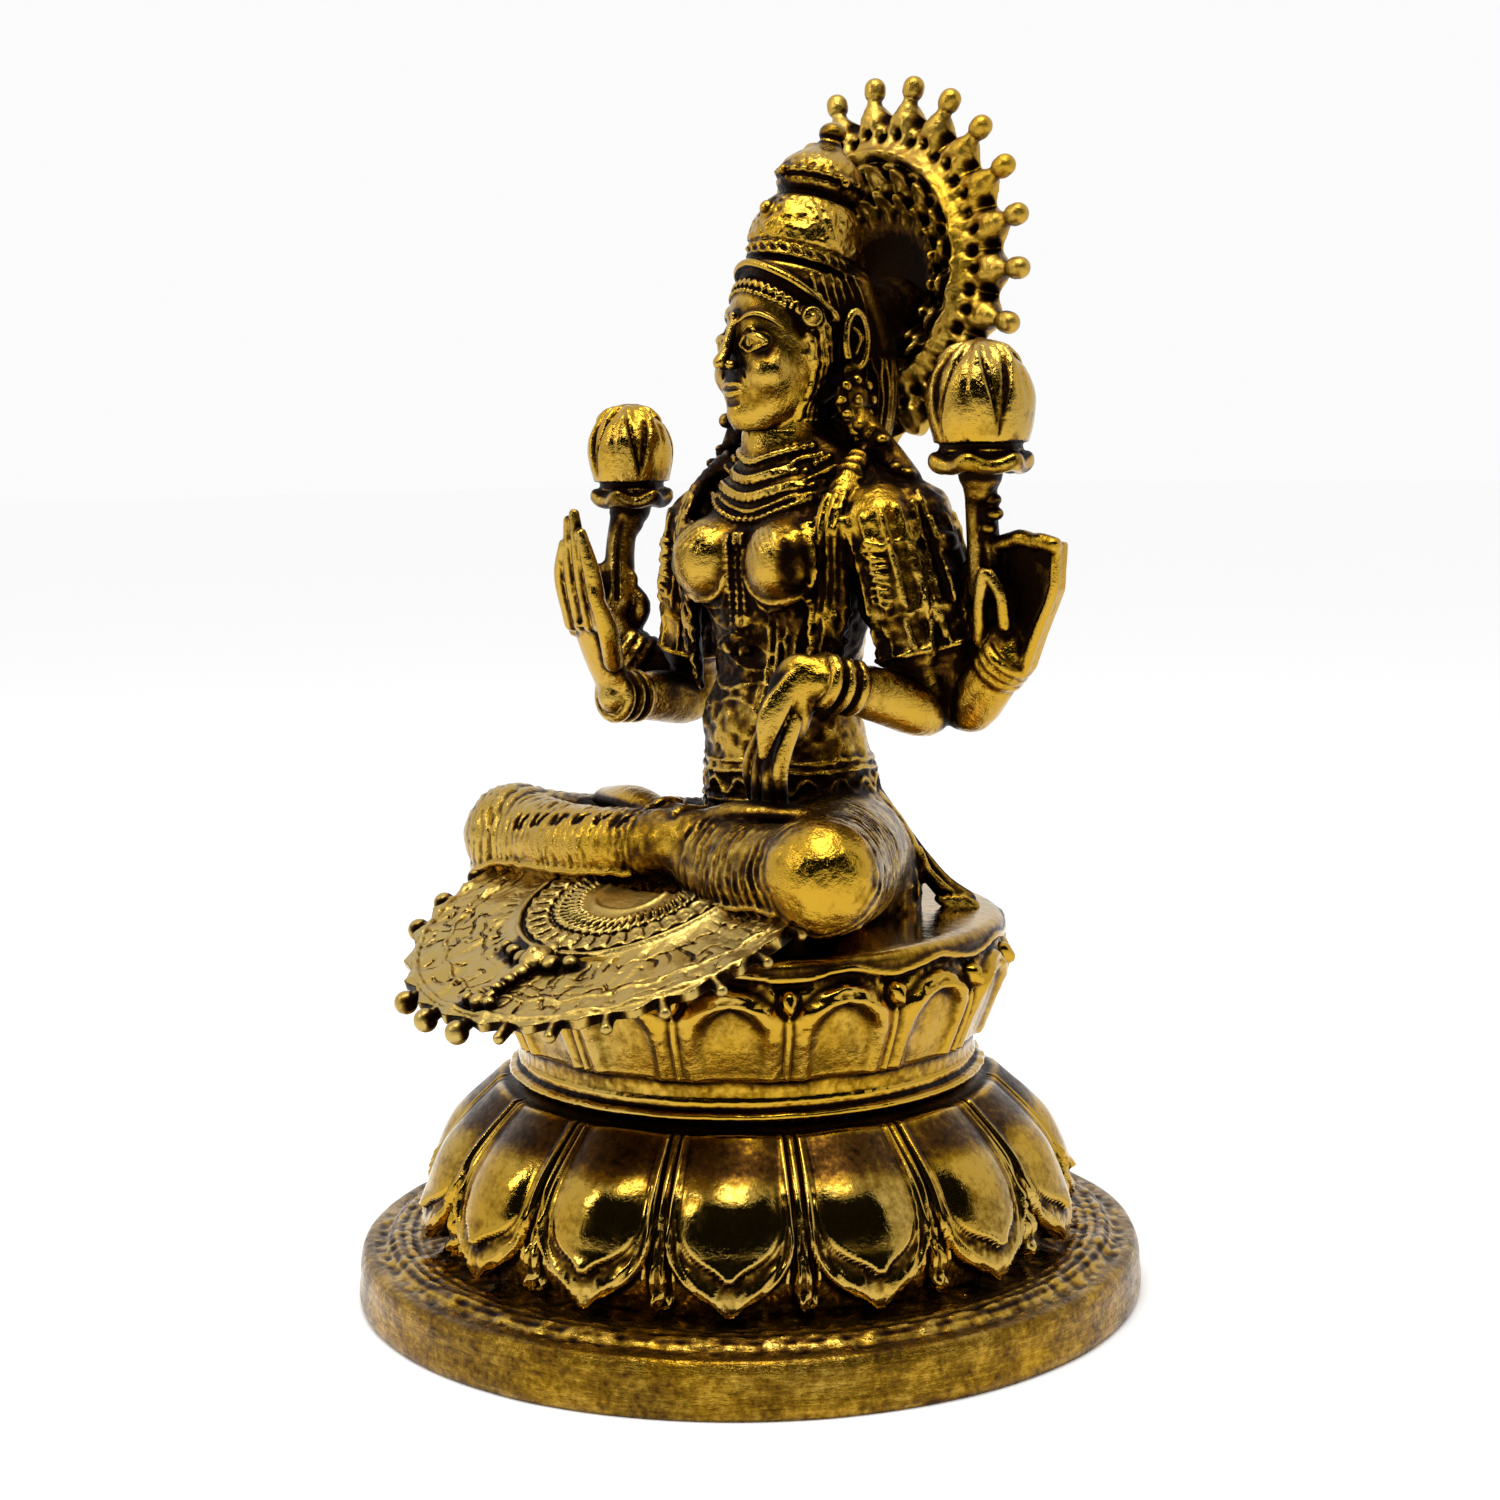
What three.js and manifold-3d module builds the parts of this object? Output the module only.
// A small brass figure of Lakshmi seated on a double lotus, cast in one with its plinth.
//
// Millimetres, +Z up. The origin is the centre of the plinth's flat underside and the
// figure faces -Y, so her left side is +X. The plinth, halo and skirt follow the sizes
// named first. The body is a free form: its pose points and radii are written as if she
// were POSE_HEIGHT high above the seat, and FIGURE_HEIGHT sets how high she is made.

import * as THREE from 'three';
import { mergeVertices } from 'three/addons/utils/BufferGeometryUtils.js';
import Module from 'manifold-3d';

const wasm = await Module();
wasm.setup();

// Plinth sizes
const DISC_RADIUS = 24.3;
const DISC_THICKNESS = 3.3;
const DISC_TAPER = 0.25; // how much narrower the disc is at its top edge
const LEDGE_INSET = 2.4; // from the disc's edge to the low step round the lotus
const LEDGE_HEIGHT = 0.6;
const PETAL_COUNT = 15;
const PETAL_PHASE = 18.1; // degrees from the front to the first petal's middle
const LOWER_RADIUS = 20.5; // at the tips of the lower petals
const LOWER_HEIGHT = 9.6;
const WAIST_RADIUS = 14.4;
const WAIST_HEIGHT = 2.6;
const WAIST_RING = 0.5; // how far the half-round ring stands out
const UPPER_RADIUS = 16.5; // at the tops of the upper petals
const UPPER_HEIGHT = 5.4;
const SEAT_RADIUS = 16.4;
const SEAT_THICKNESS = 1.9;
const PETAL_GROOVE = 0.75; // how deep the gaps between petals are cut
const PLINTH_TOLERANCE = 0.12; // flat facets closer than this are merged
const PETAL_CURL = 0.8; // how far a petal's tip reaches over the body behind it

// Figure sizes
const FIGURE_TOLERANCE = 0.08; // slivers thinner than this are merged
const FIGURE_HEIGHT = 51.4; // from the seat to the crown's tip
const POSE_HEIGHT = 51.4; // the height at which the pose's points were written
const HALO_KNOBS = 23;
const HALO_RADIUS = 12; // centre of the halo to the centre of a knob
const HALO_PHASE = 0.75; // share of a knob's step that the knobs are turned from upright
const HALO_BARE = 40; // degrees each side of straight down, behind the neck, without knobs
const HALO_LEAN = 7.5; // degrees that the halo's top lies behind its foot
const HALO_KNOB = 0.85; // radius of a knob
const SKIRT_RADIUS = 14.6;
const SKIRT_THICKNESS = 1.0;
const SKIRT_SLOPE = 21; // degrees that the skirt falls towards the front
const SKIRT_HALF_ANGLE = 95.25; // degrees from the front to each end of the skirt
const SKIRT_PLEATS = 30;
const SKIRT_KNOB = 0.7;
const LOST_KNOBS = [7, 9]; // pleats at her right whose knob is missing

// Heights that follow from the plinth's sizes
const LEDGE_TOP = DISC_THICKNESS + LEDGE_HEIGHT;
const LOWER_TOP = LEDGE_TOP + LOWER_HEIGHT;
const UPPER_FOOT = LOWER_TOP + WAIST_HEIGHT;
const SEAT_FOOT = UPPER_FOOT + UPPER_HEIGHT;
const SEAT_TOP = SEAT_FOOT + SEAT_THICKNESS;
const FIGURE_SCALE = FIGURE_HEIGHT / POSE_HEIGHT;

const v = (x, y, z) => new THREE.Vector3(x, y, z);
const rad = THREE.MathUtils.degToRad;

// A point of the pose, in millimetres above the seat.
const posed = (x, y, z) => v(x, y, z).multiplyScalar(FIGURE_SCALE);

// A closed mesh as a solid that can be joined. A mesh wound inside out is turned round.
function solid(geometry) {
  const bare = new THREE.BufferGeometry().setAttribute('position', geometry.getAttribute('position'));
  if (geometry.index) bare.setIndex(geometry.index);
  const merged = mergeVertices(bare, 1e-4);
  const wound = (flip) => {
    const index = Uint32Array.from(merged.index.array);
    for (let i = 0; flip && i < index.length; i += 3) [index[i + 1], index[i + 2]] = [index[i + 2], index[i + 1]];
    const vertProperties = Float32Array.from(merged.attributes.position.array);
    return new wasm.Manifold(new wasm.Mesh({ numProp: 3, vertProperties, triVerts: index }));
  };
  const made = wound(false);
  return made.volume() > 0 ? made : wound(true);
}

const join = (solids) => solids.reduce((whole, next) => whole.add(next));

// Both sides of the body from a form made for her left side.
const mirrored = (made) => made.add(made.mirror([1, 0, 0]));

// A skin through rings of equally many points, closed at both ends.
function loft(rings) {
  const sides = rings[0].length;
  const points = rings.flat();
  const middle = (ring) => ring.reduce((sum, p) => sum.add(p), v(0, 0, 0)).divideScalar(sides);
  const first = points.push(middle(rings[0])) - 1;
  const last = points.push(middle(rings.at(-1))) - 1;
  const faces = [];
  for (let k = 0; k < sides; k++) {
    const next = (k + 1) % sides;
    const top = (rings.length - 1) * sides;
    faces.push(first, next, k, last, top + k, top + next);
    for (let level = 0; level + 1 < rings.length; level++) {
      const a = level * sides;
      const b = a + sides;
      faces.push(a + k, a + next, b + next, a + k, b + next, b + k);
    }
  }
  const geometry = new THREE.BufferGeometry().setFromPoints(points);
  geometry.setIndex(faces);
  return solid(geometry);
}

// Level oval rings from [height, half-width, half-depth, middle] rows.
function stacked(rows, sides) {
  return rows.map(([z, halfWidth, halfDepth, middle]) =>
    Array.from({ length: sides }, (_, k) => {
      const turn = (2 * Math.PI * k) / sides;
      return v(halfWidth * Math.cos(turn), middle + halfDepth * Math.sin(turn), z);
    }),
  );
}

// A round limb through points with a radius at each; `flat` thins it along `facing`.
function limb(points, radii, { sides = 7, flat = 1, facing = v(0, 1, 0) } = {}) {
  const rings = points.map((p, i) => {
    const ahead = points[Math.min(i + 1, points.length - 1)];
    const along = ahead.clone().sub(points[Math.max(i - 1, 0)]).normalize();
    const across = along.clone().cross(facing).normalize();
    const thin = across.clone().cross(along).normalize();
    return Array.from({ length: sides }, (_, k) => {
      const turn = (2 * Math.PI * k) / sides;
      return p
        .clone()
        .addScaledVector(across, Math.cos(turn) * radii[i])
        .addScaledVector(thin, Math.sin(turn) * radii[i] * flat);
    });
  });
  return loft(rings);
}

function ball(centre, radii, around = 8, up = 6) {
  const geometry = new THREE.SphereGeometry(1, around, up);
  geometry.rotateX(Math.PI / 2);
  geometry.scale(...(Array.isArray(radii) ? radii : [radii, radii, radii]));
  geometry.translate(centre.x, centre.y, centre.z);
  return solid(geometry);
}

// A turned form about +Z from [radius, height] pairs that start and end on the axis.
function turned(profile, sides) {
  const geometry = new THREE.LatheGeometry(
    profile.map(([r, z]) => new THREE.Vector2(r, z)),
    sides,
  );
  geometry.rotateX(Math.PI / 2);
  return solid(geometry);
}

// Plinth

// Where the columns of one petal's pitch lie, as shares of the pitch from its middle. The
// last one is the small leaf between two petals.
const COLUMNS = [0, 0.2, 0.38, 0.5, 0.62, 0.8];

// For each column: how much of the groove's depth it is cut by, and how much of the
// petal's length is missing at the rim.
const RIM_GROOVE = [0, 0.15, 1, 0.1, 1, 0.15];
const BODY_GROOVE = [0, 0.1, 0.7, 0.45, 0.7, 0.1];
const RIM_CUT = [0, 0.05, 0.19, 0.05, 0.19, 0.05];

// The plinth's rows from the underside to the seat: radius, height and the depth of
// carving, which is a list of shares over COLUMNS. `cut` lifts or drops the row's height.
function plinthRows() {
  const plain = { groove: null, cut: 0 };
  const lower = (share, radius, groove = BODY_GROOVE) => ({
    radius: WAIST_RADIUS + (LOWER_RADIUS - WAIST_RADIUS) * radius,
    height: LEDGE_TOP + share * LOWER_HEIGHT,
    groove,
    cut: 0,
  });
  const upper = (share, radius, groove = BODY_GROOVE) => ({
    radius: WAIST_RADIUS + (UPPER_RADIUS - WAIST_RADIUS) * radius,
    height: UPPER_FOOT + share * UPPER_HEIGHT,
    groove,
    cut: 0,
  });
  return [
    { radius: DISC_RADIUS, height: 0, ...plain },
    { radius: DISC_RADIUS - DISC_TAPER, height: DISC_THICKNESS, ...plain },
    { radius: DISC_RADIUS - LEDGE_INSET, height: LEDGE_TOP - 0.1, ...plain },
    { radius: LOWER_RADIUS - PETAL_GROOVE - PETAL_CURL, height: LEDGE_TOP, ...plain },
    { ...lower(0.08, 1, RIM_GROOVE), cut: LOWER_HEIGHT },
    lower(0.33, 0.92),
    lower(0.62, 0.78),
    lower(0.86, 0.48, null),
    { radius: WAIST_RADIUS + WAIST_RING, height: LOWER_TOP, ...plain },
    upper(0, 0.05, null),
    upper(0.48, 0.6),
    { ...upper(0.97, 1, RIM_GROOVE), cut: -UPPER_HEIGHT },
    { ...upper(1.04, 0.55, null) },
    { radius: SEAT_RADIUS, height: SEAT_FOOT + SEAT_THICKNESS * 0.55, ...plain },
    { radius: SEAT_RADIUS - 1, height: SEAT_TOP, ...plain },
  ];
}

function plinth() {
  const pitch = 360 / PETAL_COUNT;
  const rings = plinthRows().map(({ radius, height, groove, cut }) => {
    const ring = [];
    for (let petal = 0; petal < PETAL_COUNT; petal++) {
      COLUMNS.forEach((column, k) => {
        const turn = rad(PETAL_PHASE + (petal + column) * pitch);
        const r = radius - PETAL_GROOVE * (groove ? groove[k] : 0);
        ring.push(v(r * Math.sin(turn), -r * Math.cos(turn), height + cut * RIM_CUT[k]));
      });
    }
    return ring;
  });
  return loft(rings).simplify(PLINTH_TOLERANCE);
}

// Figure, with the seat at z = 0

// Half-width, half-depth and middle of the body at each height, with the belt's ridge.
const BODY = [
  [-0.5, 8.6, 6.2, 5.0],
  [3, 8.4, 6.2, 4.8],
  [6.6, 5.9, 5.0, 4.4],
  [7.2, 6.1, 5.2, 4.3],
  [8.2, 6.0, 5.1, 4.2],
  [8.5, 5.6, 4.7, 4.1],
  [11.5, 5.1, 4.2, 4.0],
  [14.5, 4.9, 4.0, 4.1],
  [22, 6.9, 4.3, 4.4],
  [24.6, 6.4, 3.6, 4.5],
  [26, 4.9, 3.4, 4.3],
  [26.6, 2.7, 2.7, 3.6],
  [29.5, 2.4, 2.5, 3.8],
];
const BODY_SIDES = 12;

function body() {
  const breasts = mirrored(ball(v(3.1, 0.5, 21.7), [2.35, 2.5, 2.4], 8, 6));
  return join([loft(stacked(BODY, BODY_SIDES)), breasts]);
}

// The crown's outline along its own leaning axis: [radius, distance from the brow].
const CROWN = [
  [0, -1],
  [3.7, -1],
  [4.0, 0],
  [3.3, 0.9],
  [3.4, 2.2],
  [2.9, 3.8],
  [2.2, 4.8],
  [2.75, 6.1],
  [2.5, 7.0],
  [1.4, 7.9],
  [0.6, 8.6],
  [0.9, 9.3],
  [0, 9.9],
];
const CROWN_LEAN = 23; // degrees back from upright

// Half-width, half-depth and middle of the head and hair at each height.
const HEAD = [
  [28.8, 1.5, 1.7, 1.7],
  [29.9, 2.5, 2.9, 2.9],
  [31.5, 3.1, 4.2, 4.2],
  [33.3, 3.6, 5.1, 5.1],
  [35.2, 3.7, 5.1, 5.2],
  [37, 3.5, 4.6, 5.3],
  [38.8, 2.8, 3.6, 5.6],
];
const HEAD_SIDES = 12;

function head() {
  const nose = limb([v(0, 0.3, 34.6), v(0, -0.7, 32.9), v(0, 0.2, 32.4)], [0.3, 0.6, 0.4], { sides: 5 });
  const mouth = ball(v(0, 0, 31.3), [0.9, 0.45, 0.45], 6, 4);
  const side = join([
    ball(v(1.4, 0.5, 34.1), [0.85, 0.5, 0.45], 6, 4),
    ball(v(3.7, 6.0, 32.8), [0.5, 0.95, 2.1], 6, 4),
    ball(v(4.2, 5.2, 29.8), [1.0, 1.1, 1.2], 6, 4),
    limb([v(2.8, 6.2, 29.6), v(5.6, 6.6, 27.2), v(8.4, 6.8, 24.6)], [1.6, 1.9, 1.8], { sides: 6 }),
  ]);
  const crown = turned(CROWN, 12).rotate([-CROWN_LEAN, 0, 0]).translate([0, 4.6, 38.2]);
  return join([loft(stacked(HEAD, HEAD_SIDES)), nose, mouth, crown, mirrored(side)]);
}

// A nimbus behind the head: a dished plate, thick at its back, with a knob at each point.
function halo() {
  const dish = [
    [0, 1.2],
    [4.5, 1.0],
    [7, -0.7],
    [10.3, -0.3],
    [10.9, 0.2],
    [7.5, 1.7],
    [0, 2.4],
  ].map(([r, y]) => [(r * HALO_RADIUS) / 12, y]);
  const step = 360 / HALO_KNOBS;
  const parts = [turned(dish, HALO_KNOBS).rotate([-90, 0, 0])];
  for (let k = 0; k < HALO_KNOBS; k++) {
    if (Math.abs(step * (k + HALO_PHASE) - 180) < HALO_BARE) continue;
    const stalk = [0.86, 0.93, 0.985, 1.05].map((share) => v(0, 0.1, HALO_RADIUS * share));
    const knob = limb(stalk, [0.6, 0.42, HALO_KNOB, HALO_KNOB * 0.55], { sides: 5 });
    parts.push(knob.rotate([0, step * k, 0]));
  }
  const turn = HALO_PHASE * step;
  const plate = join(parts).rotate([0, turn, 0]).rotate([-HALO_LEAN, 0, 0]);
  const struts = [
    limb([posed(0, 7, 36), posed(0, 12.8, 37.4)], [3.4, 3.0], { sides: 6, facing: v(0, 0, 1) }),
    limb([posed(0, 6, 43.6), posed(0, 13.2, 45.4)], [1.7, 1.7], { sides: 6, facing: v(0, 0, 1) }),
  ];
  return join([plate.translate(posed(0, 12.05, 38.9).toArray()), ...struts]);
}

// An upper arm and forearm, with the sleeve's hem and a bangle as steps in their outlines.
function arm(shoulder, elbow, wrist, sleeve = 2.1, forearm = 1.7) {
  const upper = [0, 0.7, 0.73, 1.07].map((s) => shoulder.clone().lerp(elbow, s));
  const lower = [-0.1, 0.4, 0.82, 0.86, 1].map((s) => elbow.clone().lerp(wrist, s));
  const bangle = forearm * 0.95;
  return join([
    limb(upper, [sleeve, sleeve * 1.08, sleeve * 0.85, forearm * 0.85], { sides: 6, facing: v(0.3, 1, 0.1) }),
    limb(lower, [forearm, forearm, forearm * 0.75, bangle, bangle], { sides: 6, facing: v(0.1, 0.3, 1) }),
  ]);
}

// The outline across an open hand, from [across, thickness] shares: the back is flat and
// the palm side has a ridge for each finger.
const HAND_OUTLINE = [
  [-1, 0.2],
  [-0.75, 1],
  [-0.5, 0.35],
  [-0.25, 1],
  [0, 0.35],
  [0.25, 1],
  [0.5, 0.35],
  [0.75, 1],
  [1, 0.2],
  [0.8, -1],
  [-0.8, -1],
];

// An open hand: palm and fingers in one, and a thumb. `side` points to the thumb and its
// length is half the hand's width.
function openHand(wrist, knuckles, tips, side) {
  const facing = knuckles.clone().sub(wrist).cross(side).normalize().negate();
  const points = [wrist, wrist.clone().lerp(knuckles, 0.5), knuckles, knuckles.clone().lerp(tips, 0.7), tips];
  const widths = [0.6, 0.9, 1, 0.8, 0.35];
  const depths = [1.0, 0.95, 0.65, 0.5, 0.25];
  const rings = points.map((p, i) =>
    HAND_OUTLINE.map(([across, thick]) =>
      p.clone().addScaledVector(side, across * widths[i]).addScaledVector(facing, thick * depths[i]),
    ),
  );
  const thumb = [0.3, 0.75, 1.25].map((s) => wrist.clone().lerp(knuckles, s).addScaledVector(side, 0.6 + 0.35 * s));
  return join([loft(rings), limb(thumb, [0.7, 0.6, 0.3], { sides: 4, facing })]);
}

// A hand that holds a lotus stem: broad at the top, with two fingers bent down in front
// and a third reaching over to `pinch` the stem.
function holdingHand(wrist, top, pinch) {
  const along = (s) => wrist.clone().lerp(top, s);
  const parts = [limb([wrist, along(0.45), top], [1.2, 1.9, 2.4], { sides: 7, flat: 0.55, facing: v(0.3, -1, 0) })];
  for (const out of [-0.4, 0.9]) {
    const root = along(0.95).add(v(out, -0.9, 0));
    parts.push(limb([root, root.clone().add(v(-0.3, -0.9, -0.6)), root.clone().add(v(-0.5, -0.5, -2.8))], [0.6, 0.65, 0.4], { sides: 4 }));
  }
  parts.push(limb([along(0.9), pinch], [0.8, 0.6], { sides: 5 }));
  return join(parts);
}

// A closed lotus bud: [radius, height] as shares of the bud's radius, with its flared calyx.
const BUD = [
  [0, -1.45],
  [0.35, -1.45],
  [1.0, -1.15],
  [0.78, -0.85],
  [1.0, -0.1],
  [0.85, 0.8],
  [0.5, 1.25],
  [0, 1.3],
];

function lotusBud(foot, bend, centre, radius) {
  const neck = centre.clone().add(v(0, 0, -radius * 1.3));
  const bud = turned(BUD.map(([r, z]) => [r * radius, z * radius]), 10);
  return join([limb([foot, bend, neck], [0.75, 0.75, 0.85], { sides: 5 }), bud.translate([centre.x, centre.y, centre.z])]);
}

function arms() {
  const givingWrist = v(8.9, -1.9, 13.8);
  const blessingWrist = v(-9.9, -1.4, 12.8);
  return join([
    mirrored(ball(v(6.9, 5.2, 24), [2.4, 3.2, 2.4], 7, 5)),
    mirrored(limb([v(7.4, 5.2, 23.4), v(10.4, 6.2, 15)], [2.2, 1.7], { sides: 6, facing: v(0.3, 1, 0.1) })),
    arm(v(7.4, 3.8, 23.8), v(10.3, 5.3, 12.7), givingWrist),
    arm(v(-7.0, 3.8, 23.6), v(-10.2, 5.3, 12.3), blessingWrist),
    arm(v(8.2, 6.4, 24.2), v(12.3, 7.1, 12.9), v(15.5, 6.8, 16)),
    arm(v(-7.8, 6.4, 24), v(-12.1, 7.1, 12.4), v(-14.9, 4.0, 15.2)),
    openHand(blessingWrist, v(-9.7, -4.0, 18.4), v(-9.3, -5.4, 24.6), v(2.2, 0.2, 0)),
    openHand(v(7.6, -2.2, 15), v(6.6, -2.9, 12.4), v(5.2, -3.1, 7), v(-2.1, 0.3, -0.2)),
    ball(v(7.9, -2.2, 14.2), [1.6, 1.5, 1.4], 6, 4),
    limb([v(5.3, -2.9, 8.4), v(5.1, -3.2, 5)], [0.9, 0.7], { sides: 5 }),
    holdingHand(v(15.5, 6.8, 15.8), v(16.5, 6.8, 21.8), v(14.3, 6.2, 22.1)),
    holdingHand(v(-14.9, 4.0, 15), v(-16.2, 2.2, 19.8), v(-15.2, 3.6, 19.8)),
    lotusBud(v(14.6, 6.2, 21.6), v(14.5, 5.8, 24.2), v(15, 5, 30.9), 3.05),
    lotusBud(v(-15.0, 3.6, 18.6), v(-15.4, 4.2, 22.4), v(-15, 4.9, 28.3), 2.7),
  ]);
}

// Crossed legs, each foot sole up on the other thigh.
function legs() {
  const leg = { sides: 8, facing: v(0, 0, 1) };
  const foot = { sides: 6, flat: 0.7, facing: v(0, 0, 1) };
  const leftKnee = v(14.3, -6.4, 4.3);
  const rightKnee = v(-14.3, -6.4, 4.0);
  return join([
    limb([v(4.6, 4, 3.2), v(10, -1.4, 3.8), leftKnee], [4.3, 4.0, 3.2], leg),
    limb([v(-4.6, 4, 2.3), v(-10, -1.4, 2.9), rightKnee], [3.8, 3.5, 3.0], leg),
    ball(leftKnee, 3.4, 9, 6),
    ball(rightKnee, 3.1, 8, 6),
    limb([leftKnee, v(7, -6.6, 4.0), v(-2.5, -4.6, 5.2)], [2.9, 2.7, 2.0], leg),
    limb([rightKnee, v(-7, -7.4, 4.2), v(2.5, -6.4, 5.2)], [2.9, 2.5, 2.0], leg),
    limb([v(2.2, -6.2, 6.2), v(5, -4.8, 7.1), v(8.8, -2.8, 6.8)], [1.3, 1.4, 0.7], foot),
    limb([v(-2.2, -5.0, 6.0), v(-5.2, -4.0, 7.0), v(-9, -2.2, 6.9)], [1.3, 1.4, 0.7], foot),
  ]);
}

// The skirt's pleats, spread in a half-round fan before the crossed legs.
function skirt() {
  const spot = (turn, share, lift) => v(SKIRT_RADIUS * share * Math.sin(turn), -SKIRT_RADIUS * share * Math.cos(turn), lift);
  const reach = rad(SKIRT_HALF_ANGLE);
  const strips = [];
  const knobs = [];
  for (let k = 0; k <= SKIRT_PLEATS; k++) {
    const turn = -reach + (2 * reach * k) / SKIRT_PLEATS;
    const fold = k % 2 ? 0.15 : -0.15;
    strips.push([
      spot(turn, 0.04, -SKIRT_THICKNESS),
      spot(turn, 1, -SKIRT_THICKNESS),
      spot(turn, 1, fold - 0.2),
      spot(turn, 0.6, fold + 0.1),
      spot(turn, 0.52, 0.45),
      spot(turn, 0.04, 0.6),
    ]);
    if (k % 2 === 0 || LOST_KNOBS.includes(k)) continue;
    const knob = [0.94, 1.03, 1.07].map((share) => spot(turn, share, -SKIRT_THICKNESS / 2));
    knobs.push(limb(knob, [0.5, SKIRT_KNOB, SKIRT_KNOB * 0.5], { sides: 5, facing: v(0, 0, 1) }));
  }
  const boss = ball(spot(0, 0.55, 0.4), [1.3, 1.5, 0.9], 6, 4);
  return join([loft(strips), boss, ...knobs]).rotate([SKIRT_SLOPE, 0, 0]).translate(posed(0, -8.9, 2.0).toArray());
}

// The sash's ends, falling from each hip to the seat behind the figure.
function sash() {
  const fall = [v(4.2, 6.6, 6.6), v(5.6, 7.4, 4.8), v(7.4, 8.6, 2.4), v(8.8, 9.5, 0.8), v(9.6, 10.1, -0.2)];
  return mirrored(limb(fall, [1.2, 1.2, 0.9, 1.4, 1.6], { sides: 5, flat: 0.6, facing: v(1, -1, 0) }));
}

function figure() {
  const pose = join([body(), head(), arms(), legs(), sash()]).scale(FIGURE_SCALE);
  return join([pose, halo(), skirt()]).translate([0, 0, SEAT_TOP]);
}

// One casting as a named mesh
function casting(name, made, { colour, roughness, metalness }) {
  const { vertProperties, triVerts } = made.getMesh();
  const geometry = new THREE.BufferGeometry();
  geometry.setAttribute('position', new THREE.BufferAttribute(Float32Array.from(vertProperties), 3));
  geometry.setIndex(new THREE.BufferAttribute(Uint32Array.from(triVerts), 1));
  geometry.computeVertexNormals();
  const mesh = new THREE.Mesh(geometry, new THREE.MeshStandardMaterial({ color: colour, roughness, metalness }));
  mesh.name = name;
  return mesh;
}

const BRASS = { colour: 0xb8892c, roughness: 0.28, metalness: 1 };

const lakshmi = new THREE.Group();
lakshmi.add(casting('lakshmi_figure', join([plinth(), figure()]).simplify(FIGURE_TOLERANCE), BRASS));

export default lakshmi;
